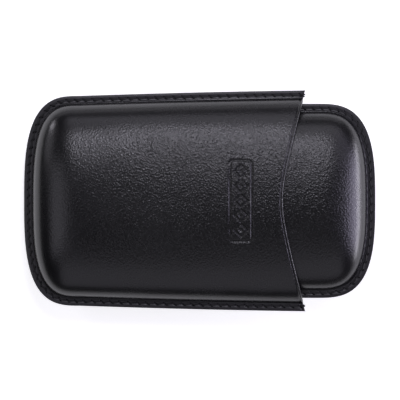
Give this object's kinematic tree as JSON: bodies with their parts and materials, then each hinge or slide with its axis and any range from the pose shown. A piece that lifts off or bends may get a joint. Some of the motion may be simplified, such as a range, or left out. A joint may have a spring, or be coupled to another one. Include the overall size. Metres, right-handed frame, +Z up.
{
  "type": "telescoping leather slip case",
  "caption": "Hard moulded leather case in two telescoping sleeves with sewn flanges and a scooped mouth; the inner sleeve pulls out.",
  "frame": {"origin": "middle of the case's plan at the surface it lies on, under the crown of its back panel", "axes": "+X along the case, from the outer sleeve's closed end to the inner sleeve's closed end, the way the inner sleeve pulls out; +Y across the case; +Z up through its thickness, out of the front panel"},
  "size_m": [0.1406, 0.0886, 0.029],
  "materials": {
    "case_leather": "black moulded cowhide, fine pebble grain, semi-gloss dressing",
    "leatherboard": "brown bonded leatherboard, moulded, matt",
    "lining": "dark grey suede split, napped",
    "thread": "black bonded twisted sewing thread"
  },
  "bodies": {
    "outer": {"outer_front_leather": "case_leather", "outer_back_leather": "case_leather", "outer_front_board": "leatherboard", "outer_back_board": "leatherboard", "outer_front_lining": "lining", "outer_back_lining": "lining", "outer_needle_thread": "thread", "outer_bobbin_thread": "thread"},
    "inner": {"inner_front_leather": "case_leather", "inner_back_leather": "case_leather", "inner_front_board": "leatherboard", "inner_back_board": "leatherboard", "inner_front_lining": "lining", "inner_back_lining": "lining", "inner_needle_thread": "thread", "inner_bobbin_thread": "thread"}
  },
  "joints": [
    {"name": "inner_slide", "type": "slide", "parent": "outer", "child": "inner", "axis": [1, 0, 0], "range_m": [0, 0.1]}
  ]
}
